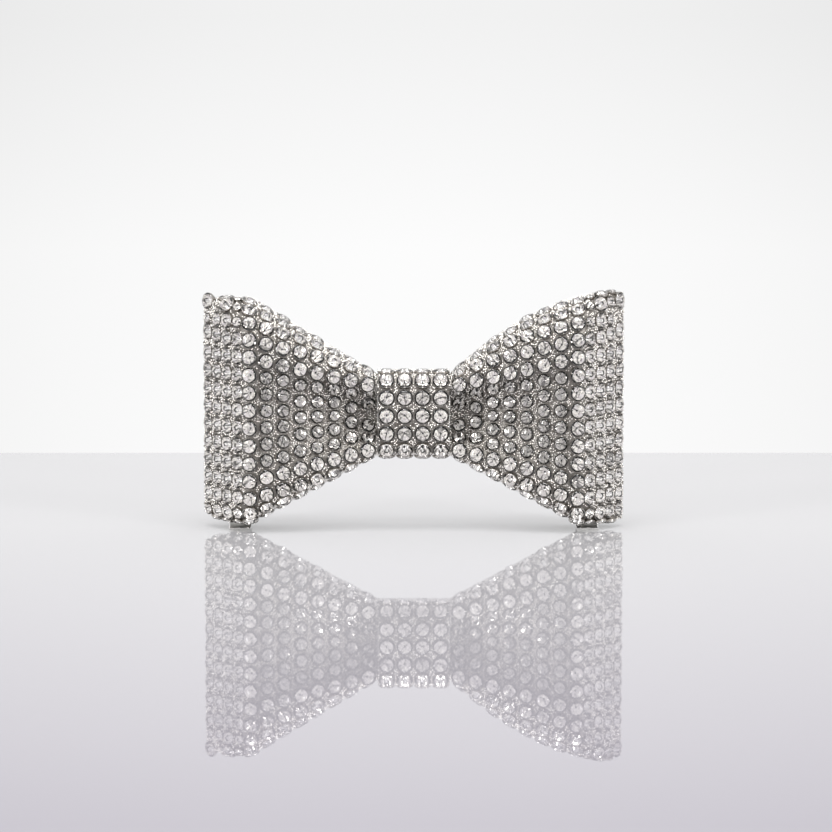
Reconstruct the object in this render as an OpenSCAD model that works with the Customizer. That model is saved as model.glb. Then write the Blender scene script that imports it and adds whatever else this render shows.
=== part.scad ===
// Bow brooch set all over with round brilliant stones, with a hinged pin and a turning catch on its back.
// Millimetres. +X is the wearer's view right, -Y is the front that shows, +Z is up.
// The origin is at the middle of the foot rails' underside.

/* [Wings] */
// Distance from the middle of the bow to where a wing leaves the knot
wing_root = 5.4; // [5.3:0.1:5.8]
// Distance from the middle to the ridge column near a wing's end
ridge_x = 24.3; // [22:0.1:26]
// Distance from the middle to the end of a wing, at the stones' girdles
end_x = 31.6; // [30.5:0.1:33]
// Height of the ridge loop's middle line
ridge_z = 17.1; // [16:0.1:18]
// Half of the ridge loop's height beside the knot
root_ridge = 4.6; // [4:0.1:5.5]
// Half of the ridge loop's height at its far column
end_ridge = 9.25; // [8.5:0.05:10]
// Crest of the ridge above the back plane, beside the knot
root_crest = 6; // [5.8:0.1:6.4]
// Crest of the ridge above the back plane, at its far column
end_crest = 8.6; // [7.5:0.1:9]
// How far the hollow between the ridges drops beside the knot
hollow_drop = 4.7; // [2:0.1:4.7]
// Height of the top edge beside the knot
root_top = 23.1; // [22.5:0.1:24]
// Height of the left wing's flat top edge
left_top = 34.7; // [33:0.1:36]
// Height of the right wing's bowed top edge
right_top = 35.6; // [34:0.1:37]
// Height of the lower edge beside the knot
root_low = 11.0; // [10:0.1:12]
// Height of the lower edge above the foot rails
foot_low = 0.8; // [0.8:0.05:1.5]
// How far the left wing's lower corner lifts
left_lift = 1.2; // [0:0.1:2]

/* [Stones] */
// Girdle radius of a wing stone
stone_r = 1.17; // [1:0.01:1.18]
// Girdle radius of a stone in the hollow
hollow_stone_r = 1.06; // [0.9:0.01:1.08]
// Girdle radius of a knot stone
knot_stone_r = 1.22; // [1.1:0.01:1.24]
// Distance between the columns of stones
column_pitch = 2.5; // [2.45:0.01:2.7]
// Distance between rows of stones, measured over the surface
row_pitch = 2.58; // [2.5:0.01:2.8]

/* [Knot] */
// Half of the knot's width
knot_half_w = 5.3; // [5:0.1:5.3]
// Half of the knot's height, at the stones' girdles
knot_half_h = 6.45; // [6:0.05:7]
// Height of the knot's middle
knot_z = 17.4; // [17:0.1:18]
// Front of the knot above the back plane, at the stones' girdles
knot_front = 6.5; // [6:0.1:7]
// Distance between the knot's stones
knot_pitch = 2.68; // [2.6:0.01:2.75]

/* [Metal] */
// Depth of the plates' outer face below the stones' girdles
seat_depth = 0.3; // [0.25:0.05:0.35]
// Thickness of the wing plates
plate_t = 0.8; // [0.6:0.05:0.8]
// Thickness of the pierced back plates
gallery_t = 0.8; // [0.7:0.1:1]
// Radius across the corners of a hole in the back plates
hole_r = 2; // [1.6:0.1:2.2]

/* [Pin] */
// Distance from the middle to the hinge's axis, on the left
hinge_x = 22; // [20:0.5:23]
// Distance from the middle to the centre of the catch, on the right
catch_x = 19; // [17:0.5:20]
// Height of the pin
pin_z = 21.5; // [20.5:0.5:22]
// Height of the pin's axis above the back plates
pin_lift = 3.3; // [3.2:0.1:3.6]
// Radius of the pin's wire
pin_r = 0.45; // [0.4:0.05:0.45]
// Distance from the middle to the pin's point
pin_tip = 25.2; // [24.5:0.1:27]

/* [Hidden] */
$fn = 48;

// Places in depth: the wings stand on the back plane, and the back plates lie behind it.
pin_reach = 1.7;
back_y = (end_crest + 0.34 * stone_r - gallery_t - pin_lift - pin_reach) / 2;
gallery_back = back_y + gallery_t;
pin_y = gallery_back + pin_lift;

// Shape of the wings
top_bow = 1.9;
top_bow_len = 25;
top_roll = 2.4;
low_roll = 3;
bevel_power = 1.25;
bevel_roll = 6;
bevel_pitch = 2.5;
edge_margin = 1;
columns = 8;
first_column = ridge_x - column_pitch * (columns - 1);
ridge_rows = 8;
end_columns = 4;
stone_gap = 0.12;
least_r = 0.7;
hollow_pitch = 2.32;
arc_steps = 18;
LEFT = -1;
RIGHT = 1;
UP = 1;
DOWN = -1;

function mix(a, b, t) = a + (b - a) * t;
function clamp(t) = max(0, min(1, t));
function smooth(t) = t * t * (3 - 2 * t);
function unit(v) = v / norm(v);

// How far x has gone from the knot to the ridge column, 0 to 1
function along(x) = clamp((x - wing_root) / (ridge_x - wing_root));

// How far x has gone from the ridge column to the end that lies d inside the girdles, 0 to 1
function beyond(x, d) = clamp((x - ridge_x) / (end_x - d - ridge_x));

// The left top edge is straight and then flat, the right one is a bow.
function top_edge(side, x) =
    side == LEFT
    ? mix(root_top, left_top, along(x))
    : mix(root_top, right_top, 1 - pow(1 - clamp((x - wing_root) / top_bow_len), top_bow));

function low_edge(side, x) =
    mix(root_low, foot_low, along(x)) + (side == LEFT ? left_lift * pow(beyond(x, 0), 2) : 0);
function ridge_half(x) = mix(root_ridge, end_ridge, along(x));

// The crest above the back plane, on a surface d below the girdles
function crest(x, d) =
    (mix(root_crest, end_crest, smooth(along(x))) - d) * (1 - pow(beyond(x, d), bevel_power));

function hollow(x) = hollow_drop * (1 - along(x));

// Distance from the ridge to the wing's edge, on a surface d below the girdles
function roll_reach(side, x, way, d) =
    (way == UP ? top_edge(side, x) - ridge_z : ridge_z - low_edge(side, x)) - ridge_half(x) - d;

// The roll is rounder over the wings and tighter beside the end bevel.
function roll_power(x, way) = mix(way == UP ? top_roll : low_roll, bevel_roll, beyond(x, 0));

// A point outside the ridge loop, where the surface rolls back: turn is 0 on the ridge, 90 on the edge.
function roll_point(side, x, turn, way, d) =
    let (power = 2 / roll_power(x, way))
    [
        x,
        back_y - crest(x, d) * pow(cos(turn), power),
        ridge_z + way * (ridge_half(x) + roll_reach(side, x, way, d) * pow(sin(turn), power))
    ];

// A point between the ridges, where across goes from -1 to 1.
function hollow_point(x, across, d) =
    [
        x,
        back_y - crest(x, d) + hollow(x) * (1 - across * across),
        ridge_z + across * ridge_half(x)
    ];

// Directions that face away from the wing
function roll_normal(side, x, turn, way) =
    let (
        over = roll_point(side, x, min(89, turn + 5), way, 0) - roll_point(side, x, max(0, turn - 5), way, 0),
        outward = roll_point(side, x + 0.6, turn, way, 0) - roll_point(side, x - 0.6, turn, way, 0),
        face = unit(cross(over, outward))
    )
    face * [0, -1, way] > 0 ? face : -face;

function hollow_normal(x, across, step) =
    let (
        over = hollow_point(x, across + 0.1, 0) - hollow_point(x, across - 0.1, 0),
        outward = hollow_point(x + step, across, 0) - hollow_point(x - step, across, 0),
        face = unit(cross(over, outward))
    )
    face[1] < 0 ? face : -face;

// Running length over the roll at one column, as pairs of length and turn
function roll_lengths(side, x, way, i = 0, length = 0) =
    let (
        turn = 90 * i / arc_steps,
        next = 90 * (i + 1) / arc_steps,
        step = norm(roll_point(side, x, next, way, 0) - roll_point(side, x, turn, way, 0))
    )
    i == arc_steps
    ? [[length, 90]]
    : concat([[length, turn]], roll_lengths(side, x, way, i + 1, length + step));

// Running length down the end bevel, as pairs of length and x
function bevel_lengths(i = 0, length = 0) =
    let (
        x = mix(ridge_x, end_x, i / arc_steps),
        next = mix(ridge_x, end_x, (i + 1) / arc_steps),
        step = norm(hollow_point(next, 1, 0) - hollow_point(x, 1, 0))
    )
    i == arc_steps
    ? [[length, end_x]]
    : concat([[length, x]], bevel_lengths(i + 1, length + step));

function column_x(i) = first_column + column_pitch * i;
function bevel_x(i) = lookup(i * bevel_pitch, bevel_lengths());

// Seats are lists of place, direction and stone radius.
function roll_column(side, x, way) =
    let (
        lengths = roll_lengths(side, x, way),
        whole = lengths[arc_steps][0],
        rows = floor((whole - edge_margin) / row_pitch)
    )
    [
        for (k = [1:1:rows])
        let (turn = lookup(k * row_pitch, lengths))
        [roll_point(side, x, turn, way, 0), roll_normal(side, x, turn, way), stone_r]
    ];

function ridge_seat(side, x, way) =
    [
        hollow_point(x, way, 0),
        unit(roll_normal(side, x, 24, way) + hollow_normal(x, 0.75 * way, 0.8)),
        stone_r
    ];

function ridge_seats(side) =
    concat(
        [for (i = [0:columns - 1], way = [DOWN, UP]) ridge_seat(side, column_x(i), way)],
        [
            for (j = [1:ridge_rows - 2])
            let (across = 2 * j / (ridge_rows - 1) - 1)
            [hollow_point(ridge_x, across, 0), hollow_normal(ridge_x, across, 1.2), stone_r]
        ]
    );

// Between the ridges the rows spread evenly over the curved hollow.
function hollow_rows(x) =
    floor((2 * ridge_half(x) + 1.1 * hollow(x) * hollow(x) / ridge_half(x)) / hollow_pitch) - 1;

function hollow_seats() =
    [
        for (i = [0:columns - 2])
        let (x = column_x(i), rows = hollow_rows(x))
        for (j = [1:rows])
        let (across = 2 * j / (rows + 1) - 1)
        [hollow_point(x, across, 0), hollow_normal(x, across, 0.6), hollow_stone_r]
    ];

function roll_seats(side, way) = [for (i = [0:columns - 1]) each roll_column(side, column_x(i), way)];

function end_seats(side) =
    [
        for (c = [1:end_columns])
        let (x = bevel_x(c))
        each concat(
            [
                for (j = [0:ridge_rows - 1])
                let (across = 2 * j / (ridge_rows - 1) - 1)
                [hollow_point(x, across, 0), hollow_normal(x, across, 0.6), stone_r]
            ],
            roll_column(side, x, UP),
            roll_column(side, x, DOWN)
        )
    ];

// Fits each seat in beside the others and those kept so far: a tight place takes a smaller stone, or none.
function spaced(seats, others = [], i = 0, kept = []) =
    i == len(seats)
    ? kept
    : let (
        room = [for (o = concat(others, kept)) norm(seats[i][0] - o[0]) - o[2] - stone_gap],
        radius = min(concat([seats[i][2]], room)),
        fitted = [seats[i][0], seats[i][1], radius]
    )
    spaced(seats, others, i + 1, radius < least_r ? kept : concat(kept, [fitted]));

function group_seats(side, group) =
    group == "ridge" ? spaced(ridge_seats(side))
    : group == "hollow" ? spaced(hollow_seats(), group_seats(side, "ridge"))
    : group == "top" ? spaced(roll_seats(side, UP), group_seats(side, "ridge"))
    : group == "bottom" ? spaced(roll_seats(side, DOWN), group_seats(side, "ridge"))
    : spaced(
        end_seats(side),
        concat(
            group_seats(side, "ridge"),
            group_seats(side, "top"),
            group_seats(side, "bottom")
        )
    );

// Knot: a strap bent over a rounded front
knot_bend = 3;
knot_rows = 3;
knot_columns = 4;
knot_flat = knot_half_h - knot_bend;

// A point on the knot's girdle surface, at a length over it from its middle
function knot_point(length) =
    let (
        past = abs(length) - knot_flat,
        turn = past > 0 ? past / knot_bend * 180 / PI : 0,
        way = length < 0 ? DOWN : UP
    )
    past <= 0
    ? [0, back_y - knot_front, knot_z + length]
    : [
        0,
        back_y - knot_front + knot_bend * (1 - cos(turn)),
        knot_z + way * (knot_flat + knot_bend * sin(turn))
    ];

function knot_facing(length) =
    let (
        past = max(0, abs(length) - knot_flat),
        turn = past / knot_bend * 180 / PI
    )
    [0, -cos(turn), (length < 0 ? DOWN : UP) * sin(turn)];

function knot_seats() =
    [
        for (j = [-knot_rows:knot_rows], i = [0:knot_columns - 1])
        let (x = (i - (knot_columns - 1) / 2) * knot_pitch)
        [knot_point(j * knot_pitch) + [x, 0, 0], knot_facing(j * knot_pitch), knot_stone_r]
    ];

// Cut of the stones and shape of the collets, in stone radii unless named otherwise
table_part = 0.58;
culet_part = 0.06;
crown_part = 0.34;
girdle_part = 0.04;
pavilion_part = 0.86;
seat_in = 0.42;
seat_out = 0.98;
collet_out = 1.05;
collet_foot = 0.62;
collet_sink = 1;
seat_play = 0.012;

function pavilion_z(part) =
    -girdle_part - (pavilion_part - girdle_part) * (1 - part) / (1 - culet_part);

module seated(seat) {
    translate(seat[0])
        rotate([0, acos(seat[1][2]), atan2(seat[1][1], seat[1][0])])
            children();
}

module stone(r) {
    rotate_extrude()
        polygon(r * [
            [0, -pavilion_part],
            [culet_part, -pavilion_part],
            [1, -girdle_part],
            [1, girdle_part],
            [table_part, crown_part],
            [0, crown_part]
        ]);
}

module collet(r) {
    rotate_extrude()
        polygon([
            [r * seat_in, -collet_sink],
            [r * collet_foot, -collet_sink],
            [r * collet_out, -r * girdle_part],
            [r * seat_out, r * pavilion_z(seat_out) - seat_play],
            [r * seat_in, r * pavilion_z(seat_in) - seat_play]
        ]);
}

module stones(seats) {
    color("white")
        for (seat = seats)
            seated(seat)
                stone(seat[2]);
}

module collets(seats) {
    color("silver")
        for (seat = seats)
            seated(seat)
                collet(seat[2]);
}

module on_side(side) {
    if (side == LEFT)
        mirror([1, 0, 0])
            children();
    else
        children();
}

module wing_stones(side, group) {
    on_side(side)
        stones(group_seats(side, group));
}

module wing_collets(side, group) {
    on_side(side)
        collets(group_seats(side, group));
}

// Wing plate: a shell between two nested surfaces
long_steps = 17;
bevel_steps = 7;
roll_steps = 10;
hollow_steps = 12;
plate_rows = long_steps + bevel_steps;
plate_cols = 2 * roll_steps + hollow_steps;

function plate_x(i, d) =
    i <= long_steps
    ? mix(wing_root, ridge_x, i / long_steps)
    : mix(ridge_x, end_x - d, (i - long_steps) / bevel_steps);

function plate_point(side, i, j, d) =
    let (x = plate_x(i, d))
    j < roll_steps
    ? roll_point(side, x, 90 * (roll_steps - j) / roll_steps, DOWN, d)
    : j > roll_steps + hollow_steps
    ? roll_point(side, x, 90 * (j - roll_steps - hollow_steps) / roll_steps, UP, d)
    : hollow_point(x, 2 * (j - roll_steps) / hollow_steps - 1, d);

module wing_plate(side) {
    wide = plate_cols + 1;
    sheet = (plate_rows + 1) * wide;
    depths = [seat_depth, seat_depth + plate_t];
    points = [
        for (d = depths, i = [0:plate_rows], j = [0:plate_cols])
        plate_point(side, i, j, d)
    ];
    front = [
        for (i = [0:plate_rows - 1], j = [0:plate_cols - 1])
        let (p = i * wide + j)
        each [[p, p + 1, p + wide + 1], [p, p + wide + 1, p + wide]]
    ];
    back = [for (f = front) [f[2] + sheet, f[1] + sheet, f[0] + sheet]];
    loop = concat(
        [for (j = [0:plate_cols - 1]) j],
        [for (i = [0:plate_rows - 1]) i * wide + plate_cols],
        [for (j = [plate_cols:-1:1]) plate_rows * wide + j],
        [for (i = [plate_rows:-1:1]) i * wide]
    );
    rim = [
        for (k = [0:len(loop) - 1])
        let (a = loop[k], b = loop[(k + 1) % len(loop)])
        each [[b, a, a + sheet], [b, a + sheet, b + sheet]]
    ];
    color("gainsboro")
        on_side(side)
            polyhedron(points, concat(front, back, rim), convexity = 6);
}

// Back plates: the wing's outline, pierced with a honeycomb
hole_pitch = 4.5;
gallery_in = 0.4;
foot_start = 24.4;
foot_end = 27.6;
foot_t = 0.3;
foot_front = 4.4;
outline_steps = 12;

function gallery_outline(side) =
    let (far = end_x - gallery_in)
    concat(
        [
            for (i = [0:outline_steps])
            let (x = mix(wing_root, ridge_x, i / outline_steps))
            [x, top_edge(side, x) - gallery_in]
        ],
        [
            for (i = [1:4])
            let (x = mix(ridge_x, far, i / 4))
            [x, top_edge(side, x) - gallery_in]
        ],
        [
            [far, low_edge(side, far) + gallery_in],
            [foot_end, low_edge(side, foot_end) + gallery_in],
            [foot_end, 0],
            [foot_start, 0],
            [foot_start, low_edge(side, foot_start) + gallery_in],
            [wing_root, root_low + gallery_in]
        ]
    );

// Leaves a solid border, and solid pads under the hinge, the catch and the rivets.
function hole_fits(side, p) =
    let (margin = hole_r + 1.6)
    p[0] > wing_root + margin
    && p[0] < end_x - gallery_in - margin
    && p[1] < top_edge(side, p[0] - hole_r) - gallery_in - margin
    && p[1] > low_edge(side, p[0] - hole_r) + gallery_in + margin
    && len([for (r = rivet_places(side)) if (norm(p - r) < hole_r + 1) 1]) == 0
    && norm([max(0, abs(p[0] - (side == LEFT ? hinge_x : catch_x)) - 2), p[1] - pin_z]) > hole_r + 1.6;

function rivet_places(side) =
    [[11.5, ridge_z], [19.5, ridge_z], [20.5, ridge_z + 10.2], [20.5, ridge_z - 10.2]];

module gallery(side) {
    color("silver")
        on_side(side)
            translate([0, gallery_back, 0])
                rotate([90, 0, 0])
                    linear_extrude(gallery_t)
                        difference() {
                            polygon(gallery_outline(side));
                            for (i = [0:6], j = [-4:4]) {
                                place = [
                                    wing_root + 3.1 + i * hole_pitch * sqrt(3) / 2,
                                    ridge_z + 0.3 + (j + (i % 2) / 2) * hole_pitch
                                ];
                                if (hole_fits(side, place))
                                    translate(place)
                                        circle(hole_r, $fn = 6);
                            }
                            for (place = rivet_places(side))
                                translate(place)
                                    circle(rivet_r);
                        }
}

module foot_rail(side) {
    color("silver")
        on_side(side)
            translate([foot_start, back_y - foot_front, 0])
                cube([foot_end - foot_start, foot_front, foot_t]);
}

// Posts stand on the back plates inside the wings, and rivets hold them from behind.
post_r = 0.7;
post_bite = 0.15;
rivet_r = 0.45;
rivet_head_r = 0.8;
rivet_head_t = 0.35;
rivet_depth = 1.6;

function shell_depth(side, x, z) =
    let (
        d = seat_depth + plate_t,
        way = z > ridge_z ? UP : DOWN,
        off = abs(z - ridge_z),
        across = off / ridge_half(x),
        power = roll_power(x, way),
        part = clamp((off - ridge_half(x)) / roll_reach(side, x, way, d))
    )
    across <= 1
    ? crest(x, d) - hollow(x) * (1 - across * across)
    : crest(x, d) * pow(1 - pow(part, power), 1 / power);

module posts(side) {
    color("silver")
        on_side(side)
            for (place = rivet_places(side))
                translate([place[0], back_y, place[1]])
                    rotate([90, 0, 0])
                        difference() {
                            cylinder(h = shell_depth(side, place[0], place[1]) + post_bite, r = post_r);
                            translate([0, 0, -1])
                                cylinder(h = rivet_depth + 1, r = rivet_r);
                        }
}

module rivet(shank) {
    cylinder(h = shank, r = rivet_r);
    cylinder(h = rivet_head_t, r = rivet_head_r);
}

module gallery_rivets() {
    color("silver")
        for (side = [LEFT, RIGHT])
            on_side(side)
                for (place = rivet_places(side))
                    translate([place[0], gallery_back + rivet_head_t, place[1]])
                        rotate([90, 0, 0])
                            rivet(rivet_head_t + gallery_t + rivet_depth - 0.3);
}

// Knot pieces
band_t = 0.8;
core_play = 0.03;
band_corner_steps = 8;
core_half_w = 4.4;
core_half_h = 2.5;
bridge_half_len = 8.2;
bridge_h = 1.4;
bridge_deep = 0.9;
bridge_off = 3.2;
knot_rivet_x = 2.6;

function band_side(half_h, bend, front, way) =
    [
        for (k = [0:band_corner_steps])
        let (turn = 90 * k / band_corner_steps)
        [
            -(front - bend * (1 - cos(turn))),
            way * (half_h - bend + bend * sin(turn))
        ]
    ];

function band_outline(d) =
    let (
        half_h = knot_half_h - d,
        bend = knot_bend - d,
        front = knot_front - d
    )
    concat(
        [[0, half_h]],
        [for (k = [band_corner_steps:-1:0]) band_side(half_h, bend, front, UP)[k]],
        band_side(half_h, bend, front, DOWN),
        [[0, -half_h]]
    );

module along_knot(half_w) {
    translate([-half_w, back_y, knot_z])
        rotate([90, 0, 90])
            linear_extrude(2 * half_w)
                children();
}

module knot_band() {
    color("gainsboro")
        along_knot(knot_half_w)
            difference() {
                polygon(band_outline(seat_depth));
                polygon(band_outline(seat_depth + band_t));
            }
}

module knot_back() {
    half_h = knot_half_h - seat_depth;
    color("silver")
        difference() {
            translate([-knot_half_w, back_y, knot_z - half_h])
                cube([2 * knot_half_w, gallery_t, 2 * half_h]);
            for (x = [-knot_rivet_x, knot_rivet_x])
                translate([x, back_y - 1, knot_z])
                    rotate([-90, 0, 0])
                        cylinder(h = gallery_t + 2, r = rivet_r);
        }
}

module knot_core() {
    core_front = knot_front - seat_depth - band_t - core_play;
    color("gray")
        difference() {
            translate([-core_half_w, back_y - core_front, knot_z - core_half_h])
                cube([2 * core_half_w, core_front, 2 * core_half_h]);
            for (x = [-knot_rivet_x, knot_rivet_x])
                translate([x, back_y - rivet_depth, knot_z])
                    rotate([-90, 0, 0])
                        cylinder(h = rivet_depth + 1, r = rivet_r);
        }
}

module bridge(z) {
    color("gray")
        translate([-bridge_half_len, back_y - bridge_deep, z - bridge_h / 2])
            cube([2 * bridge_half_len, bridge_deep, bridge_h]);
}

module knot_rivets() {
    color("silver")
        for (x = [-knot_rivet_x, knot_rivet_x])
            translate([x, gallery_back + rivet_head_t, knot_z])
                rotate([90, 0, 0])
                    rivet(rivet_head_t + gallery_t + rivet_depth - 0.3);
}

// Hinge: two ears, a rivet and the pin's knuckle
ear_r = 1.4;
ear_t = 0.8;
knuckle_r = 1.3;
knuckle_h = 1.6;
knuckle_play = 0.1;
pivot_r = 0.5;
pivot_play = 0.05;
pad_t = 0.7;
ear_inner = knuckle_h / 2 + knuckle_play;

module at_hinge() {
    translate([-hinge_x, pin_y, pin_z])
        children();
}

module ear() {
    cylinder(h = ear_t, r = ear_r);
    translate([-ear_r, -pin_lift, 0])
        cube([2 * ear_r, pin_lift, ear_t]);
}

module hinge_base() {
    tall = ear_inner + ear_t;
    color("silver")
        at_hinge()
            difference() {
                union() {
                    translate([0, 0, ear_inner])
                        ear();
                    translate([0, 0, -tall])
                        ear();
                    translate([-ear_r - 0.6, -pin_lift, -tall])
                        cube([2 * ear_r + 1.2, pad_t, 2 * tall]);
                }
                translate([0, 0, -tall - 1])
                    cylinder(h = 2 * tall + 2, r = pivot_r);
            }
}

module hinge_rivet() {
    tall = ear_inner + ear_t;
    color("silver")
        at_hinge()
            union() {
                translate([0, 0, -tall])
                    cylinder(h = 2 * tall, r = pivot_r);
                for (z = [-tall - 0.3, tall])
                    translate([0, 0, z])
                        cylinder(h = 0.3, r = 0.85);
            }
}

module pin_stem() {
    point_len = 4;
    start = 0.9;
    length = hinge_x + pin_tip;
    color("silver")
        at_hinge()
            difference() {
                union() {
                    translate([0, 0, -knuckle_h / 2])
                        cylinder(h = knuckle_h, r = knuckle_r);
                    rotate([0, 90, 0])
                        rotate_extrude()
                            polygon([
                                [0, start],
                                [pin_r, start],
                                [pin_r, length - point_len],
                                [0.6 * pin_r, length - point_len / 3],
                                [0, length]
                            ]);
                }
                translate([0, 0, -knuckle_h])
                    cylinder(h = 2 * knuckle_h, r = pivot_r + pivot_play);
            }
}

// Catch: a split ring on a pad, with a slotted drum that turns in it
ring_w = 2.2;
ring_bore = 1.2;
drum_play = 0.05;
slot_half = pin_r + 0.1;
mouth_half = slot_half + 0.1;
flange_r = 1.5;
flange_t = 0.35;
flange_play = 0.1;
drum_half = ring_w / 2 + flange_play + flange_t;
lever_t = 0.6;
lever_reach = 3.1;

module at_catch() {
    translate([catch_x, pin_y, pin_z])
        children();
}

module along_x(from, to, r) {
    translate([from, 0, 0])
        rotate([0, 90, 0])
            cylinder(h = to - from, r = r);
}

module catch_base() {
    color("silver")
        at_catch()
            difference() {
                union() {
                    along_x(-ring_w / 2, ring_w / 2, pin_reach);
                    translate([-ring_w / 2, -pin_lift, -1.1])
                        cube([ring_w, pin_lift, 2.2]);
                    translate([-ring_w / 2 - 0.8, -pin_lift, -1.9])
                        cube([ring_w + 1.6, pad_t, 3.8]);
                }
                along_x(-ring_w, ring_w, ring_bore);
                translate([-ring_w, 0, -mouth_half])
                    cube([2 * ring_w, 3, 2 * mouth_half]);
            }
}

module pin_slot(from, to) {
    along_x(from, to, slot_half);
    translate([from, 0, -slot_half])
        cube([to - from, 4, 2 * slot_half]);
}

module catch_rotor() {
    color("silver")
        at_catch()
            difference() {
                union() {
                    along_x(-drum_half, drum_half, ring_bore - drum_play);
                    along_x(-drum_half, -drum_half + flange_t, flange_r);
                    along_x(drum_half - flange_t, drum_half, flange_r);
                }
                pin_slot(-drum_half - 1, drum_half + 1);
            }
}

module catch_lever() {
    color("silver")
        at_catch()
            difference() {
                union() {
                    translate([drum_half, 0, -lever_reach + 0.55])
                        rotate([0, 90, 0])
                            cylinder(h = lever_t, r = 0.55);
                    translate([drum_half, -0.55, -lever_reach + 0.55])
                        cube([lever_t, 1.1, lever_reach - 0.55]);
                    along_x(drum_half, drum_half + lever_t, 1.1);
                }
                pin_slot(drum_half - 1, drum_half + lever_t + 1);
            }
}

wing_plate(LEFT);  // left_wing_plate
wing_plate(RIGHT);  // right_wing_plate
gallery(LEFT);  // left_gallery
gallery(RIGHT);  // right_gallery
foot_rail(LEFT);  // left_foot_rail
foot_rail(RIGHT);  // right_foot_rail
posts(LEFT);  // left_posts
posts(RIGHT);  // right_posts
gallery_rivets();
knot_band();
knot_back();
knot_core();
bridge(knot_z + bridge_off);  // upper_bridge
bridge(knot_z - bridge_off);  // lower_bridge
knot_rivets();
wing_stones(LEFT, "ridge");  // left_ridge_stones
wing_stones(LEFT, "hollow");  // left_hollow_stones
wing_stones(LEFT, "top");  // left_top_stones
wing_stones(LEFT, "end");  // left_end_stones
wing_stones(LEFT, "bottom");  // left_bottom_stones
wing_stones(RIGHT, "ridge");  // right_ridge_stones
wing_stones(RIGHT, "hollow");  // right_hollow_stones
wing_stones(RIGHT, "top");  // right_top_stones
wing_stones(RIGHT, "end");  // right_end_stones
wing_stones(RIGHT, "bottom");  // right_bottom_stones
wing_collets(LEFT, "ridge");  // left_ridge_collets
wing_collets(LEFT, "hollow");  // left_hollow_collets
wing_collets(LEFT, "top");  // left_top_collets
wing_collets(LEFT, "end");  // left_end_collets
wing_collets(LEFT, "bottom");  // left_bottom_collets
wing_collets(RIGHT, "ridge");  // right_ridge_collets
wing_collets(RIGHT, "hollow");  // right_hollow_collets
wing_collets(RIGHT, "top");  // right_top_collets
wing_collets(RIGHT, "end");  // right_end_collets
wing_collets(RIGHT, "bottom");  // right_bottom_collets
stones(knot_seats());  // knot_stones
collets(knot_seats());  // knot_collets
hinge_base();
hinge_rivet();
pin_stem();
catch_base();
catch_rotor();
catch_lever();
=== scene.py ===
# %% [markdown]
# # A bow brooch paved with brilliant stones
# The brooch is a cast and soldered frame with several hundred small round stones on it. The frame arrives
# ready made and fixed, and this notebook gives it cut stones, rims, metal finishes and a studio. Every new
# piece is placed from the frame itself, so nothing has to be measured twice.

# %% Load the frame
import math

import bmesh
import bpy
import numpy as np
from mathutils import Matrix, Vector


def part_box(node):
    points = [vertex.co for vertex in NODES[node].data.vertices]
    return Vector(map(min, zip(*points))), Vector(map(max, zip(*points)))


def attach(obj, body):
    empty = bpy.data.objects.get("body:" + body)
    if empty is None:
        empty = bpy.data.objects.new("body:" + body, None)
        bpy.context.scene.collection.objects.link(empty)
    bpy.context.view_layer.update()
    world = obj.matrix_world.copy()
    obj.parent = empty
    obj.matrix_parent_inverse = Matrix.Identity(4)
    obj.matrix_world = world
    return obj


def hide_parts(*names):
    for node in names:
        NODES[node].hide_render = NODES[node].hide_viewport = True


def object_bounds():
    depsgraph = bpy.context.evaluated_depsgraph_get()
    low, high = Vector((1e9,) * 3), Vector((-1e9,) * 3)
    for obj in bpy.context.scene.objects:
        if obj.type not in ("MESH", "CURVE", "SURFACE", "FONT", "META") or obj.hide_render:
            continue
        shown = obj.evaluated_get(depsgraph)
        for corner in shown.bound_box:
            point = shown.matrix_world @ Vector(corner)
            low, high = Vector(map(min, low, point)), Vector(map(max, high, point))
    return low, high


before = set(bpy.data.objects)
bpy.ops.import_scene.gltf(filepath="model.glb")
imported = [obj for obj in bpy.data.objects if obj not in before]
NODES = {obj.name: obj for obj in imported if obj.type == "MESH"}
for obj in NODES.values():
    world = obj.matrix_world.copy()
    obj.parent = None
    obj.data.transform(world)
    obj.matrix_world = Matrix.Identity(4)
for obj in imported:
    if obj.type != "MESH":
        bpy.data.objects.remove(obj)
CAD_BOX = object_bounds()
low, high = CAD_BOX
print("frame of", len(NODES), "nodes,", [round(v * 1000, 1) for v in high - low], "mm")

# %% [markdown]
# ## The camera
# A jewellery camera stands well back with a long lens, so that the bow's rows stay straight and its two
# ends look the same size. A short lens close by would show every stone but swell the middle of the bow.
# This one looks along +Y from a little above the table.

# %% Place the camera
MM = 0.001
FRAME_WIDTH = 124.4 * MM
CAMERA_FAR = 0.62
CAMERA_RISE = math.radians(7.2)
SENSOR = 36.0
LOOK_AT = Vector((0.35 * MM, 0.0, 16.8 * MM))

lens = bpy.data.cameras.new("long_lens")
lens.sensor_width = SENSOR
lens.lens = SENSOR * CAMERA_FAR / FRAME_WIDTH
lens.clip_start = 0.01
lens.clip_end = 20.0
camera = bpy.data.objects.new("camera", lens)
bpy.context.scene.collection.objects.link(camera)
backwards = Vector((0, -math.cos(CAMERA_RISE), math.sin(CAMERA_RISE)))
camera.location = LOOK_AT + backwards * CAMERA_FAR
camera.rotation_euler = (math.pi / 2 - CAMERA_RISE, 0, 0)
bpy.context.scene.camera = camera
print("lens of", round(lens.lens), "mm at", CAMERA_FAR, "m")

# %% [markdown]
# ## Writing shaders as sums
# A finish is a small calculation over the surface: noise that is stretched, squeezed and mixed. Wiring it
# node by node hides the sum, so a small class wraps a socket and lets Python's own operators add the Math
# nodes. One method makes every other kind of node. It finds a socket by its name, with _ for a space, or by
# its number, such as i6, where a node has several sockets of one name.

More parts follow.
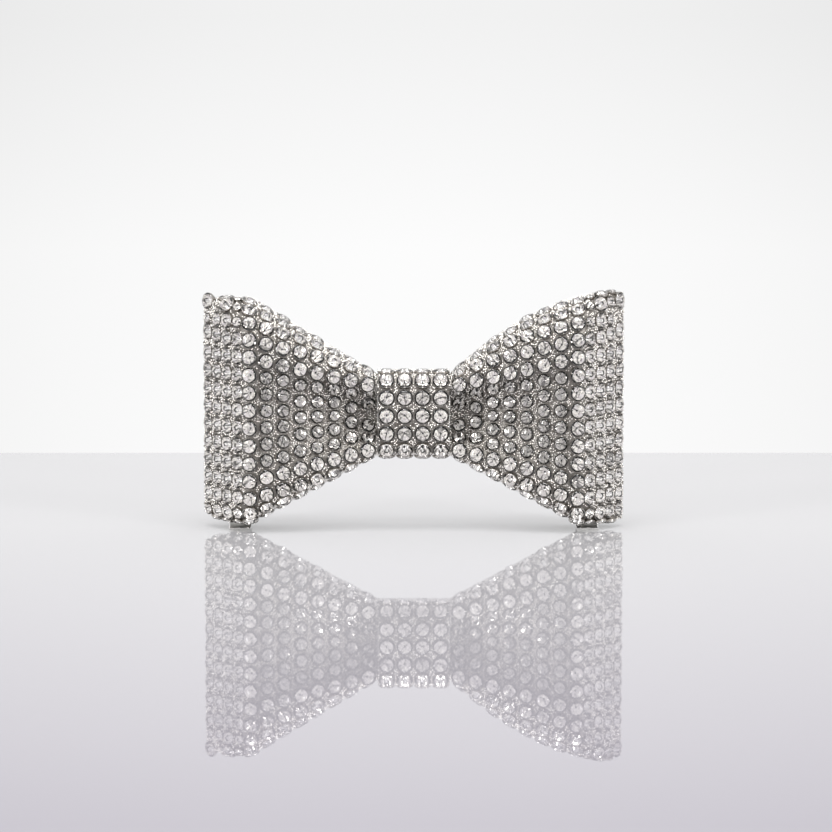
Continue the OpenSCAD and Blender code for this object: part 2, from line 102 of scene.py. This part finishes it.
# %% A socket that can be added and multiplied
class Ink:
    def __init__(self, tree, socket):
        self.tree = tree
        self.socket = socket

    def maths(self, operation, first, second):
        node = self.tree.nodes.new("ShaderNodeMath")
        node.operation = operation
        for slot, value in zip(node.inputs, (first, second)):
            if isinstance(value, Ink):
                self.tree.links.new(value.socket, slot)
            else:
                slot.default_value = value
        return Ink(self.tree, node.outputs[0])

    def __add__(self, other):
        return self.maths("ADD", self, other)

    def __radd__(self, other):
        return self.maths("ADD", other, self)

    def __sub__(self, other):
        return self.maths("SUBTRACT", self, other)

    def __rsub__(self, other):
        return self.maths("SUBTRACT", other, self)

    def __mul__(self, other):
        return self.maths("MULTIPLY", self, other)

    def __rmul__(self, other):
        return self.maths("MULTIPLY", other, self)

    def node(self, kind, output=0, settings=None, **sockets):
        made = self.tree.nodes.new(kind)
        for name, value in (settings or {}).items():
            setattr(made, name, value)
        for name, value in sockets.items():
            numbered = name[0] == "i" and name[1:].isdigit()
            socket = made.inputs[int(name[1:]) if numbered else name.replace("_", " ")]
            if isinstance(value, Ink):
                self.tree.links.new(value.socket, socket)
            else:
                socket.default_value = value
        return Ink(self.tree, made.outputs[output])


print("shader sums ready")

# %% [markdown]
# ## A blank finish
# Every finish here is one Principled shader. Numbers that are the same all over go straight on its sockets,
# and only what changes over the surface is linked. Starting each from the same function keeps them alike.

# %% Start a finish
def new_finish(name, **constants):
    material = bpy.data.materials.new(name)
    material.use_nodes = True
    shader = material.node_tree.nodes["Principled BSDF"]
    for socket, value in constants.items():
        shader.inputs[socket.replace("_", " ")].default_value = value
    return material, shader, Ink(material.node_tree, None)


def link(material, ink, socket):
    material.node_tree.links.new(ink.socket, socket)


def mix_colour(pen, factor, first, second):
    return pen.node(
        "ShaderNodeMix",
        output=2,
        settings={"data_type": "RGBA"},
        i0=factor,
        i6=(*first, 1.0),
        i7=(*second, 1.0),
    )


def grain(pen, scale, detail=3.0):
    place = pen.node("ShaderNodeTexCoord", output="Object")
    return pen.node("ShaderNodeTexNoise", Vector=place, Scale=scale, Detail=detail)


print("blank finish ready")

# %% [markdown]
# ## White metal, bright and dark
# The settings are cast white metal under a bright plate. Its colour is painted dark and a little rough down
# between the stones and bright where it stands out, a painted shade, and this contrast draws a fine ring
# round every stone. An image of metal could be wrapped on, but a rim is far narrower than a millimetre and
# would show none of it. So each face carries a number for how much shade is painted on it, and the finish
# mixes bright and dark by that number.

# %% Mix the metals
BRIGHT = (0.94, 0.915, 0.88)
SHADOW = (0.19, 0.168, 0.146)
STAINED = (0.12, 0.11, 0.099)
WORN = (0.4, 0.378, 0.352)
WEAR_SCALE = 900.0
STAIN_SCALE = 420.0
FINE_SCALE = 9
DARKER = 0.82


def plated_metal():
    material, shader, pen = new_finish("bright_plate_with_painted_shade", Metallic=1.0)
    # Painted shade: the face's shade number mixes the colour from bright metal to shadow.
    shade_factor = pen.node("ShaderNodeAttribute", output="Fac", settings={"attribute_name": "painted_shade"})
    wear = grain(pen, WEAR_SCALE)
    link(material, mix_colour(pen, shade_factor, BRIGHT, SHADOW), shader.inputs["Base Color"])
    link(material, 0.08 + wear * 0.08 + shade_factor * 0.2, shader.inputs["Roughness"])
    return material


def dark_metal():
    material, shader, pen = new_finish("darkened_metal", Metallic=1.0)
    cloud = grain(pen, STAIN_SCALE)
    link(material, mix_colour(pen, cloud, STAINED, WORN), shader.inputs["Base Color"])
    link(material, 0.32 + cloud * 0.25, shader.inputs["Roughness"])
    bump = pen.node("ShaderNodeBump", Strength=0.25, Distance=0.05 * MM, Height=cloud)
    link(material, bump, shader.inputs["Normal"])
    return material


def satin_metal(name, colour, rough, scale):
    material, shader, pen = new_finish(name, Metallic=1.0)
    cloud = grain(pen, scale)
    fine = grain(pen, scale * FINE_SCALE, detail=1.0)
    darker = tuple(v * DARKER for v in colour)
    link(material, mix_colour(pen, cloud, darker, colour), shader.inputs["Base Color"])
    link(material, rough + cloud * 0.12, shader.inputs["Roughness"])
    bump = pen.node("ShaderNodeBump", Strength=0.12, Distance=0.02 * MM, Height=fine)
    link(material, bump, shader.inputs["Normal"])
    return material


PLATED = plated_metal()
DARK = dark_metal()
SATIN = satin_metal("satin_white_metal", (0.74, 0.73, 0.71), rough=0.24, scale=260.0)
BURNISHED = satin_metal("burnished_rivets", (0.8, 0.79, 0.77), rough=0.16, scale=500.0)
WIRE = satin_metal("drawn_pin_wire", (0.7, 0.7, 0.7), rough=0.12, scale=700.0)
POLISHED = satin_metal("polished_feet", (0.93, 0.915, 0.89), rough=0.02, scale=500.0)
print("metals:", [m.name for m in (PLATED, DARK, SATIN, BURNISHED, WIRE, POLISHED)])

# %% [markdown]
# ## Clear stones with a silver foil
# A costume brilliant is clear crystal with a silver foil behind it, so light goes in at the front, turns on
# the foil and comes out again. White paint with a gloss would look right only from one side, so the crown
# here really refracts and the facets below are real mirrors. Each face carries a number for its tone and
# its
# painted shade: no two stones in a batch are quite alike, some facets are painted dark as a painted shade,
# the stones in the hollow get painted shade too, and the flat point below has no foil.

# %% Mix the crystal and the foil
FOIL_BRIGHT = (0.985, 0.962, 0.94)
BARE_FOIL_AND_PAINTED_SHADE = (0.035, 0.033, 0.03)
CLEAR = (1.0, 1.0, 1.0)
GREY_TONE_AND_PAINTED_SHADE = (0.72, 0.72, 0.71)


def crystal():
    material, shader, pen = new_finish("clear_crystal", Roughness=0.0, IOR=1.56, Transmission_Weight=1.0)
    tone_and_painted_shade = pen.node("ShaderNodeAttribute", output="Fac", settings={"attribute_name": "tone_and_painted_shade"})
    # The crystal is painted greyer where the number is low: random tone and painted shade.
    link(material, mix_colour(pen, tone_and_painted_shade, GREY_TONE_AND_PAINTED_SHADE, CLEAR), shader.inputs["Base Color"])
    return material


def foil():
    material, shader, pen = new_finish("silver_foil", Metallic=1.0)
    tone_and_painted_shade = pen.node("ShaderNodeAttribute", output="Fac", settings={"attribute_name": "tone_and_painted_shade"})
    # The foil is painted darker where the number is low: bare foil at the point, random tone and painted
    # shade.
    link(material, mix_colour(pen, tone_and_painted_shade, BARE_FOIL_AND_PAINTED_SHADE, FOIL_BRIGHT), shader.inputs["Base Color"])
    link(material, 0.09 - tone_and_painted_shade * 0.07, shader.inputs["Roughness"])
    return material


CRYSTAL = crystal()
FOIL = foil()
print("stone:", CRYSTAL.name, "on", FOIL.name)

# %% [markdown]
# ## Reading where the stones sit
# The frame holds a plain turned body for each stone. Each is an island of joined faces in its node, and its
# middle, its direction and its size can be read back: the widest ring is the girdle, and the girdle lies
# nearer to the table than to the point. The surface that they stand on never has to be worked out again.

# %% Find each stone's seat
MICRONS = 1e6
WIDEST = 0.96


def islands(node):
    mesh = NODES[node].data
    places = np.zeros(len(mesh.vertices) * 3)
    mesh.vertices.foreach_get("co", places)
    places = places.reshape(-1, 3)
    keys, joined = np.unique(np.round(places * MICRONS).astype(np.int64), axis=0, return_inverse=True)
    joined = joined.ravel()
    parent = np.arange(len(keys))

    def root(i):
        while parent[i] != i:
            parent[i] = parent[parent[i]]
            i = parent[i]
        return i

    edges = np.zeros(len(mesh.edges) * 2, np.int64)
    mesh.edges.foreach_get("vertices", edges)
    for a, b in joined[edges].reshape(-1, 2):
        ra, rb = root(a), root(b)
        if ra != rb:
            parent[ra] = rb
    roots = np.array([root(i) for i in range(len(keys))])
    return [keys[roots == r] / MICRONS for r in np.unique(roots)]


def seat_of(points):
    middle = points.mean(0)
    spreads, axes = np.linalg.eigh(np.cov((points - middle).T))
    turned_about = 0 if spreads[1] - spreads[0] > spreads[2] - spreads[1] else 2
    axis = axes[:, turned_about]
    along = (points - middle) @ axis
    out = np.linalg.norm(points - middle - np.outer(along, axis), axis=1)
    girdle = points[out > WIDEST * out.max()]
    centre = girdle.mean(0)
    up = np.linalg.svd(girdle - centre)[2][2]
    along = (points - centre) @ up
    if along.max() > -along.min():
        up = -up
    return centre, up, out.max()


def seats(node):
    return [seat_of(points) for points in islands(node)]


SIDES = ("left", "right")
FIELDS = ("ridge", "hollow", "top", "end", "bottom")
SEATS = {f"{s}_{f}": seats(f"{s}_{f}_stones") for s in SIDES for f in FIELDS}
SEATS["knot"] = seats("knot_stones")
print({name: len(found) for name, found in SEATS.items()}, sum(map(len, SEATS.values())), "stones")

# %% [markdown]
# ## Cutting a brilliant
# A round brilliant has a flat table, eight star facets, eight kites, sixteen upper and sixteen lower
# halves, eight long facets below and a tiny flat point. Every facet is flat, so each corner's height
# follows from the plane of its kite or its long facet. A turned cone would have no facets to flash, so all
# of them are cut.

# %% Cut the stone's facets
TABLE_R, TABLE_Z = 0.58, 0.22
GIRDLE = 0.025
CULET_Z = -0.86
STAR_R, HALF_R, CULET_R = 0.77, 0.24, 0.12
EIGHTH = math.pi / 4
OPEN, FOILED = 0, 1
CULET_FACET = 1


def ring(radius, height, count, start):
    step = 2 * math.pi / count
    turns = [start + k * step for k in range(count)]
    return [(radius * math.cos(turn), radius * math.sin(turn), height) for turn in turns]


def brilliant():
    crown_slope = (TABLE_Z - GIRDLE) / (1 - TABLE_R)
    below_slope = (-GIRDLE - CULET_Z) / (1 - CULET_R)
    turn = math.cos(EIGHTH / 2)
    star_z = TABLE_Z - crown_slope * (STAR_R * turn - TABLE_R)
    half_z = -GIRDLE - below_slope * (1 - HALF_R * turn)
    corners = (
        ring(TABLE_R, TABLE_Z, 8, 0)
        + ring(STAR_R, star_z, 8, EIGHTH / 2)
        + ring(1, GIRDLE, 16, 0)
        + ring(1, -GIRDLE, 16, 0)
        + ring(HALF_R, half_z, 8, EIGHTH / 2)
        + ring(CULET_R, CULET_Z, 8, EIGHTH / 2)
    )
    table, star, upper, lower, half, culet = 0, 8, 16, 32, 48, 56
    facets = [list(range(8)), [culet + k for k in reversed(range(8))]]
    kinds = [OPEN, FOILED]
    for k in range(8):
        after, before = (k + 1) % 8, (k - 1) % 8
        main, side, following = 2 * k, 2 * k + 1, (2 * k + 2) % 16
        facets += [
            [table + k, star + k, table + after],
            [table + k, star + before, upper + main, star + k],
            [star + k, upper + main, upper + side],
            [star + k, upper + side, upper + following],
            [upper + main, lower + main, lower + side, upper + side],
            [upper + side, lower + side, lower + following, upper + following],
            [lower + main, half + k, lower + side],
            [lower + side, half + k, lower + following],
            [lower + main, half + before, culet + before, culet + k, half + k],
        ]
        kinds += [OPEN] * 4 + [FOILED] * 5
    return (np.array(corners), facets), kinds


GEM, GEM_KINDS = brilliant()
print("brilliant of", len(GEM[1]), "facets")

# %% [markdown]
# ## One piece from many
# The same stone, cup or bead is wanted hundreds of times. Separate objects would work but are slow to
# handle, so each field's copies go into one mesh. The function takes a form, lists of places, and the
# numbers that the finish reads from each face.

# %% Join copies into one mesh
def joined_copies(name, form, matrices, numbers, finishes, kinds=None, smooth_under=None):
    corners, faces = form
    count = len(matrices)
    block = np.c_[np.asarray(corners), np.ones(len(corners))]
    places = np.einsum("nij,kj->nki", np.array([np.array(m) for m in matrices]), block)[:, :, :3]
    sizes = np.tile([len(face) for face in faces], count)
    loops = np.concatenate(faces)[None] + np.arange(count)[:, None] * len(corners)
    mesh = bpy.data.meshes.new(name)
    mesh.vertices.add(count * len(corners))
    mesh.vertices.foreach_set("co", places.ravel())
    mesh.loops.add(loops.size)
    mesh.loops.foreach_set("vertex_index", loops.ravel())
    mesh.polygons.add(count * len(faces))
    mesh.polygons.foreach_set("loop_start", np.cumsum(sizes) - sizes)
    mesh.update(calc_edges=True)
    for key, values in numbers.items():
        layer = mesh.attributes.new(key, "FLOAT", "FACE")
        layer.data.foreach_set("value", np.asarray(values, np.float32))
    for finish in finishes:
        mesh.materials.append(finish)
    if kinds is not None:
        mesh.polygons.foreach_set("material_index", np.tile(kinds, count))
    if smooth_under is not None:
        mesh.shade_smooth()
        mesh.set_sharp_from_angle(angle=smooth_under)
    piece = bpy.data.objects.new(name, mesh)
    bpy.context.scene.collection.objects.link(piece)
    return piece


LEAST_ACROSS = 0.35


def seat_matrix(seat, twist=0.0):
    centre, up, radius = seat
    up = Vector(up)
    across = Vector((1, 0, 0)) - up * up.x
    if across.length < LEAST_ACROSS:
        across = Vector((0, 0, 1)) - up * up.z
    across.normalize()
    turned = Matrix((across, up.cross(across), up)).transposed().to_4x4()
    size = Matrix.Scale(radius, 4)
    return Matrix.Translation(Vector(centre)) @ turned @ Matrix.Rotation(twist, 4, "Z") @ size


print("joining ready")

# %% [markdown]
# ## Setting the stones
# The setter drops each stone in at whatever turn it falls, so each is twisted by its own random angle. The
# seed is fixed, so the brooch comes out the same every time. A small share of the facets is painted dark, a
# painted shade for facets that catch no lamp, and this gives the sparkle. Down in the hollow beside the
# knot the stones and the metal get painted shade for the light that the hollow's walls block, and one
# function says how much.

# %% Set every field with stones
draw = np.random.default_rng(27)
LEAN = math.radians(1.6)
PAINTED_HOLLOW_SHADE = 0.2
LEAST_SHINE = 0.93
PAINTED_DARK_SHARE = 0.14
PAINTED_DARK_FACET = 0.4


def painted_shade_in_hollow(field):
    return PAINTED_HOLLOW_SHADE if field.endswith("hollow") else 0.0


def set_stones(field, node):
    places = [
        seat_matrix(seat, twist=draw.uniform(0, EIGHTH)) @ Matrix.Rotation(draw.normal(0, LEAN), 4, "X")
        for seat in SEATS[field]
    ]
    tone_and_painted_shade = np.ones((len(places), len(GEM[1])))
    tone_and_painted_shade *= draw.uniform(LEAST_SHINE, 1.0, len(places))[:, None]
    # Facets picked at random are painted dark, a painted shade for facets that catch no lamp.
    tone_and_painted_shade *= np.where(draw.uniform(0, 1, tone_and_painted_shade.shape) < PAINTED_DARK_SHARE, PAINTED_DARK_FACET, 1.0)
    # Stones in the hollow are painted darker, a painted shade for the light that the hollow blocks.
    tone_and_painted_shade *= 1 - painted_shade_in_hollow(field)
    tone_and_painted_shade[:, CULET_FACET] = 0.0
    piece = joined_copies(
        f"{field}_brilliants",
        GEM,
        places,
        {"tone_and_painted_shade": tone_and_painted_shade.ravel()},
        [CRYSTAL, FOIL],
        kinds=GEM_KINDS,
    )
    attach(piece, "frame")
    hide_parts(node)
    return piece


for field in SEATS:
    piece = set_stones(field, f"{field}_stones")
    print(piece.name, len(piece.data.polygons), "facets")

# %% [markdown]
# ## Rims round the stones
# Each stone stands in a small cast cup whose rim is pushed over its edge. From the front the cup is only a
# thin ring, painted a little lighter at its lip. It is a turned shape, so one profile is turned round the
# stone's axis, and each cup is scaled to its own stone. A number for each step of the profile says how much
# shade is painted on it, more the lower it lies.

# %% Turn the cup
CUP_SIDES = 24
CUP_PROFILE = [
    (0.5, -0.95),
    (0.66, -0.95),
    (1.02, -0.34),
    (1.03, -0.14),
    (1.03, -0.05),
    (1.025, -0.025),
    (1.012, -0.02),
    (1.004, -0.035),
    (1.001, -0.06),
    (0.6, -0.5),
]
# Painted shade for each step of the cup's profile, darkest at the bottom and lightest at the lip.
CUP_SHADE_BY_STEP = [1.0, 0.9, 0.7, 0.6, 0.55, 0.55, 0.6, 0.7, 0.9, 1.0]


def turned(profile, sides):
    corners = [p for radius, height in profile for p in ring(radius, height, sides, 0)]
    faces = []
    for j in range(len(profile) - 1):
        for k in range(sides):
            here, there = j * sides + k, j * sides + (k + 1) % sides
            faces.append([here, there, there + sides, here + sides])
    return corners, faces


def cup():
    corners, faces = turned(CUP_PROFILE, CUP_SIDES)
    top = (len(CUP_PROFILE) - 1) * CUP_SIDES
    faces += [[top + k, top + (k + 1) % CUP_SIDES, (k + 1) % CUP_SIDES, k] for k in range(CUP_SIDES)]
    return (corners, faces), np.repeat(CUP_SHADE_BY_STEP, CUP_SIDES)


CUP, CUP_MARKS = cup()
print("a cup has", len(CUP[1]), "faces")

# %% Put a cup under every stone
def make_settings(field, node):
    # Each cup gets its profile's painted shade, and cups in the hollow get at least the hollow's painted
    # shade.
    marks = np.tile(np.maximum(CUP_MARKS, painted_shade_in_hollow(field)), len(SEATS[field]))
    piece = joined_copies(
        f"{field}_settings",
        CUP,
        [seat_matrix(seat) for seat in SEATS[field]],
        {"painted_shade": marks},
        [PLATED],
        smooth_under=math.radians(40),
    )
    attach(piece, "frame")
    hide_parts(node)
    return piece


for field in SEATS:
    piece = make_settings(field, f"{field}_collets")
    print(piece.name, len(piece.data.polygons), "faces")

# %% [markdown]
# ## Drilling the plates
# The plates are cast in one piece with a tapered seat under every stone. The frame's plates are left solid,
# so each is copied and the seats are cut out of the copy with one boolean. Without them the plate would run
# through the stones and show inside the clear crystal.

# %% Cut the seats
DRILL_SIDES = 24
DRILL_PROFILE = [(0.3, -1.6), (0.5, -1.2), (0.68, -0.94), (1.01, -0.36), (1.03, -0.1)]
WELD = 0.002 * MM
SHARP_EDGE = math.radians(24)


def closed_turned(profile, sides):
    corners, faces = turned(profile, sides)
    last = (len(profile) - 1) * sides
    faces.append(list(reversed(range(sides))))
    faces.append([last + k for k in range(sides)])
    return corners, faces


DRILL = closed_turned(DRILL_PROFILE, DRILL_SIDES)


def drilled(node, name, fields, finish):
    seats_here = [seat for field in fields for seat in SEATS[field]]
    drill = joined_copies("drill", DRILL, [seat_matrix(seat) for seat in seats_here], {}, [finish])
    solid = bmesh.new()
    solid.from_mesh(NODES[node].data)
    bmesh.ops.remove_doubles(solid, verts=solid.verts, dist=WELD)
    mesh = bpy.data.meshes.new(name)
    solid.to_mesh(mesh)
    solid.free()
    mesh.materials.clear()
    mesh.materials.append(finish)
    piece = bpy.data.objects.new(name, mesh)
    bpy.context.scene.collection.objects.link(piece)
    cut = piece.modifiers.new("seats", "BOOLEAN")
    cut.operation = "DIFFERENCE"
    cut.solver = "MANIFOLD"
    cut.object = drill
    whole = bpy.context.evaluated_depsgraph_get()
    piece.data = bpy.data.meshes.new_from_object(piece.evaluated_get(whole))
    piece.modifiers.clear()
    bpy.data.objects.remove(drill)
    piece.data.shade_smooth()
    piece.data.set_sharp_from_angle(angle=SHARP_EDGE)
    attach(piece, "frame")
    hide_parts(node)
    return piece


for side in SIDES:
    piece = drilled(f"{side}_wing_plate", f"{side}_drilled_plate", [f"{side}_{f}" for f in FIELDS], DARK)
    print(piece.name, len(piece.data.polygons), "faces")
piece = drilled("knot_band", "drilled_knot_band", ["knot"], DARK)
print(piece.name, len(piece.data.polygons), "faces")

# %% [markdown]
# ## Beads between the stones
# The metal between the stones is raised into thousands of tiny beads, most bright and some painted dark, a
# painted shade as if in the shade of their neighbours. A bump pattern would fall flat at the brooch's
# outline, so the beads are real domes. Random points are scattered over the plate, those under a stone are
# dropped, and so is any that comes too close to one already kept.

# %% Scatter points over the plates
BEAD_R = 0.16 * MM
BEAD_GAP = 0.26 * MM
POINTS_PER_AREA = 60 / (MM * MM)
CUP_REACH = 1.03
BEAD_CLEAR = 0.7
FACING_OUT = 0.3
TINY = 1e-20


def outer_triangles(node, seats_here):
    mesh = NODES[node].data
    mesh.calc_loop_triangles()
    places = np.zeros(len(mesh.vertices) * 3)
    mesh.vertices.foreach_get("co", places)
    corners = np.zeros(len(mesh.loop_triangles) * 3, np.int64)
    mesh.loop_triangles.foreach_get("vertices", corners)
    triangles = places.reshape(-1, 3)[corners.reshape(-1, 3)]
    normals = np.cross(triangles[:, 1] - triangles[:, 0], triangles[:, 2] - triangles[:, 0])
    areas = np.linalg.norm(normals, axis=1)
    normals = normals / np.maximum(areas, TINY)[:, None]
    middles = np.array([seat[0] for seat in seats_here])
    ups = np.array([seat[1] for seat in seats_here])
    away = triangles.mean(1)[:, None] - middles[None]
    nearest = np.linalg.norm(away, axis=2).argmin(1)
    keep = np.einsum("ij,ij->i", normals, ups[nearest]) > FACING_OUT
    return triangles[keep], normals[keep], areas[keep] / 2


def under_a_stone(points, seats_here):
    covered = np.zeros(len(points), bool)
    for centre, up, radius in seats_here:
        away = points - centre
        along = away @ up
        out = np.linalg.norm(away - along[:, None] * up, axis=1)
        covered |= (out < CUP_REACH * radius + BEAD_CLEAR * BEAD_R) & (np.abs(along) < radius)
    return covered


def spread(points, gap):
    cells = {}
    kept = []
    around = [(i, j, k) for i in (-1, 0, 1) for j in (-1, 0, 1) for k in (-1, 0, 1)]
    for n, (point, cell) in enumerate(zip(points.tolist(), np.floor(points / gap).astype(int).tolist())):
        near = (q for i, j, k in around for q in cells.get((cell[0] + i, cell[1] + j, cell[2] + k), ()))
        if all(math.dist(point, q) >= gap for q in near):
            cells.setdefault(tuple(cell), []).append(point)
            kept.append(n)
    return kept


def scatter(node, fields):
    seats_here = [seat for field in fields for seat in SEATS[field]]
    triangles, normals, areas = outer_triangles(node, seats_here)
    count = int(areas.sum() * POINTS_PER_AREA)
    chosen = draw.choice(len(areas), count, p=areas / areas.sum())
    u, v = draw.uniform(0, 1, (2, count))
    over = u + v > 1
    u[over], v[over] = 1 - u[over], 1 - v[over]
    a, b, c = triangles[chosen].transpose(1, 0, 2)
    points = a + u[:, None] * (b - a) + v[:, None] * (c - a)
    clear = ~under_a_stone(points, seats_here)
    points, facing = points[clear], normals[chosen][clear]
    kept = spread(points, BEAD_GAP)
    return points[kept], facing[kept]


print("scatter ready,", round(BEAD_GAP / MM, 2), "mm apart")

# %% Raise the beads
BEAD_SIDES = 7
SHADED = 0.16
DOME = [(1.0, -0.35), (1.0, 0.6), (0.62, 1.35)]
BEAD = closed_turned(DOME, BEAD_SIDES)
BEAD_SIZES = (0.75, 1.1)
SHADE_DEPTHS = (0.55, 1)
KNOT_SIDE = 5.3 * MM
HOLLOW_END = 23 * MM
HOLLOW_HALF_Z = 9 * MM
HALF_AT_KNOT, HALF_GAIN = 0.45, 0.5


def bead_matrix(point, facing, size):
    turn = Vector(facing).to_track_quat("Z", "Y").to_matrix().to_4x4()
    return Matrix.Translation(Vector(point)) @ turn @ Matrix.Scale(size, 4)


# Beads in the hollow beside the knot get painted shade, for the light that the hollow's walls block.
def hollow_shade(point, middle_z):
    gone = (abs(point[0]) - KNOT_SIDE) / (HOLLOW_END - KNOT_SIDE)
    if gone < 0 or gone > 1:
        return 0.0
    half = (HALF_AT_KNOT + HALF_GAIN * gone) * HOLLOW_HALF_Z
    across = abs(point[2] - middle_z) / half
    return PAINTED_HOLLOW_SHADE if across < 1 else 0.0


def raise_beads(node, name, fields, middle_z):
    points, facing = scatter(node, fields)
    count = len(points)
    sizes = BEAD_R * draw.uniform(*BEAD_SIZES, count)
    # A random share of beads is painted dark, a painted shade as if shaded by their neighbours.
    own = np.where(draw.uniform(0, 1, count) < SHADED, draw.uniform(*SHADE_DEPTHS, count), 0.0)
    shade = np.array([hollow_shade(p, middle_z) for p in points])
    painted_shade = np.repeat(np.clip(own + shade, 0, 1), len(BEAD[1]))
    places = [bead_matrix(p, n, size) for p, n, size in zip(points, facing, sizes)]
    piece = joined_copies(name, BEAD, places, {"painted_shade": painted_shade}, [PLATED], smooth_under=math.radians(70))
    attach(piece, "frame")
    print(piece.name, count, "beads")


knot_low, knot_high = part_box("knot_band")
MIDDLE_Z = (knot_low[2] + knot_high[2]) / 2
for side in SIDES:
    raise_beads(f"{side}_wing_plate", f"{side}_bead_field", [f"{side}_{f}" for f in FIELDS], MIDDLE_Z)
raise_beads("knot_band", "knot_bead_field", ["knot"], MIDDLE_Z)

# %% [markdown]
# ## Finishing the frame's own metal
# The plates, the pin and the catch keep their exact shapes. A machined edge is never quite sharp, so a
# small bevel is laid on each as a modifier, which leaves the shape underneath alone. The back plates are
# satin, the fittings are brighter and the feet are polished.

# %% Give each node its finish
BEVEL_OVER = math.radians(40)


def finish_node(node, finish, edge=0.06 * MM):
    piece = NODES[node]
    if not piece.data.materials:
        piece.data.materials.append(finish)
    for k in range(len(piece.data.materials)):
        piece.data.materials[k] = finish
    for entry in piece.material_slots:
        entry.material = finish
    if edge:
        bevel = piece.modifiers.new("soft_edges", "BEVEL")
        bevel.width = edge
        bevel.segments = 2
        bevel.limit_method = "ANGLE"
        bevel.angle_limit = BEVEL_OVER
        bevel.harden_normals = True
    return piece


for side in SIDES:
    finish_node(f"{side}_gallery", SATIN)
    finish_node(f"{side}_foot_rail", POLISHED)
    finish_node(f"{side}_posts", SATIN, edge=0)
for node in ("knot_core", "upper_bridge", "lower_bridge", "knot_back"):
    finish_node(node, SATIN)
for node in ("gallery_rivets", "knot_rivets", "hinge_rivet"):
    finish_node(node, BURNISHED, edge=0.05 * MM)
for node in ("hinge_base", "catch_base", "catch_rotor", "catch_lever"):
    finish_node(node, BURNISHED)
finish_node("pin_stem", WIRE, edge=0.03 * MM)
print("finished", len(NODES), "nodes")

# %% [markdown]
# ## The table and the light
# The brooch stands on a glossy pale table against a white wall. The table ends a little way behind, which
# draws the one line across the picture. Soft lamps above and at the sides light the metal. Stones in an
# evenly white room look dead, so behind the camera the world is broken into bright and dark patches, which
# the stones pick up. Looked at directly, every side of the world is the plain wall.

# %% Lay the table and the wall
TABLE_BACK = 83 * MM
TABLE_SIDE = 1.2
TABLE_FRONT = 1.6


def flat_sheet(name, corners, finish):
    mesh = bpy.data.meshes.new(name)
    mesh.from_pydata(corners, [], [list(range(len(corners)))])
    mesh.materials.append(finish)
    sheet = bpy.data.objects.new(name, mesh)
    bpy.context.scene.collection.objects.link(sheet)
    return sheet


# The table's colour is painted darker towards the front, a painted shade, and a little more lilac there.
TABLE_NEAR_IN_PAINTED_SHADE = (0.335, 0.315, 0.363)
TABLE_AWAY = (0.57, 0.563, 0.58)
SHADE_START, SHADE_END = 0 * MM, -200 * MM


def table_finish():
    material, shader, pen = new_finish("glossy_pale_table", IOR=1.5, Roughness=0.0)
    place = pen.node("ShaderNodeTexCoord", output="Object")
    depth = pen.node("ShaderNodeSeparateXYZ", output="Y", Vector=place)
    near = pen.node("ShaderNodeMapRange", Value=depth, From_Min=SHADE_START, From_Max=SHADE_END)
    link(material, mix_colour(pen, near, TABLE_AWAY, TABLE_NEAR_IN_PAINTED_SHADE), shader.inputs["Base Color"])
    return material


table = flat_sheet(
    "table",
    [
        (-TABLE_SIDE, -TABLE_FRONT, 0),
        (TABLE_SIDE, -TABLE_FRONT, 0),
        (TABLE_SIDE, TABLE_BACK, 0),
        (-TABLE_SIDE, TABLE_BACK, 0),
    ],
    table_finish(),
)
print("table reaches", TABLE_BACK, "m behind the brooch")

# %% Light the scene
def area_lamp(name, place, target, size, power):
    data = bpy.data.lights.new(name, "AREA")
    data.shape = "RECTANGLE"
    data.size, data.size_y = size
    data.energy = power
    lamp = bpy.data.objects.new(name, data)
    lamp.location = place
    lamp.rotation_euler = (Vector(target) - Vector(place)).to_track_quat("-Z", "Y").to_euler()
    bpy.context.scene.collection.objects.link(lamp)
    return lamp


AIM = (0, 0, 0.017)
area_lamp("overhead_softbox", (0, -0.15, 0.75), AIM, size=(0.5, 0.3), power=3.0)
for name, x in (("left_softbox", -0.6), ("right_softbox", 0.6)):
    area_lamp(name, (x, -0.5, 0.3), AIM, size=(0.12, 0.3), power=1.6)

WALL_TOP, WALL_LOW = 0.885, 0.975
WALL_UPPER, WALL_LOWER = -0.03, -0.085
WALL_SIDES = 0.06
SIDE_REACH = 0.0105
CARD_DARK, CARD_BRIGHT = 0.1, 1.1
CARD_SCALE = 8.0
CARD_CUT, CARD_FULL = 0.4, 0.47
FRONT_START, FRONT_FULL = 0.1, -0.15


def studio_world():
    world = bpy.data.worlds.new("white_studio")
    world.use_nodes = True
    sky = world.node_tree.nodes["Background"]
    pen = Ink(world.node_tree, None)
    facing = pen.node("ShaderNodeTexCoord", output="Generated")
    aside = pen.node("ShaderNodeSeparateXYZ", output="X", Vector=facing)
    depth = pen.node("ShaderNodeSeparateXYZ", output="Y", Vector=facing)
    height = pen.node("ShaderNodeSeparateXYZ", output="Z", Vector=facing)
    edge = pen.node("ShaderNodeMapRange", Value=aside * aside, From_Max=SIDE_REACH, To_Max=WALL_SIDES)
    level = {"From_Min": WALL_UPPER, "From_Max": WALL_LOWER, "To_Min": WALL_TOP, "To_Max": WALL_LOW}
    wall = pen.node("ShaderNodeMapRange", Value=height, **level) - edge
    blotch = pen.node("ShaderNodeTexNoise", Vector=facing, Scale=CARD_SCALE, Detail=2.0)
    patch = {"From_Min": CARD_CUT, "From_Max": CARD_FULL, "To_Min": CARD_DARK, "To_Max": CARD_BRIGHT}
    cards = pen.node("ShaderNodeMapRange", Value=blotch, **patch)
    front = pen.node("ShaderNodeMapRange", Value=depth, From_Min=FRONT_START, From_Max=FRONT_FULL)
    front = front * (1 - pen.node("ShaderNodeLightPath", output="Is Camera Ray"))
    world.node_tree.links.new((wall * (1 - front) + cards * front).socket, sky.inputs["Strength"])
    sky.inputs["Color"].default_value = (1, 1, 1, 1)
    return world


bpy.context.scene.world = studio_world()
bpy.context.scene.view_settings.view_transform = "Standard"
print("lit by three softboxes and a white wall")
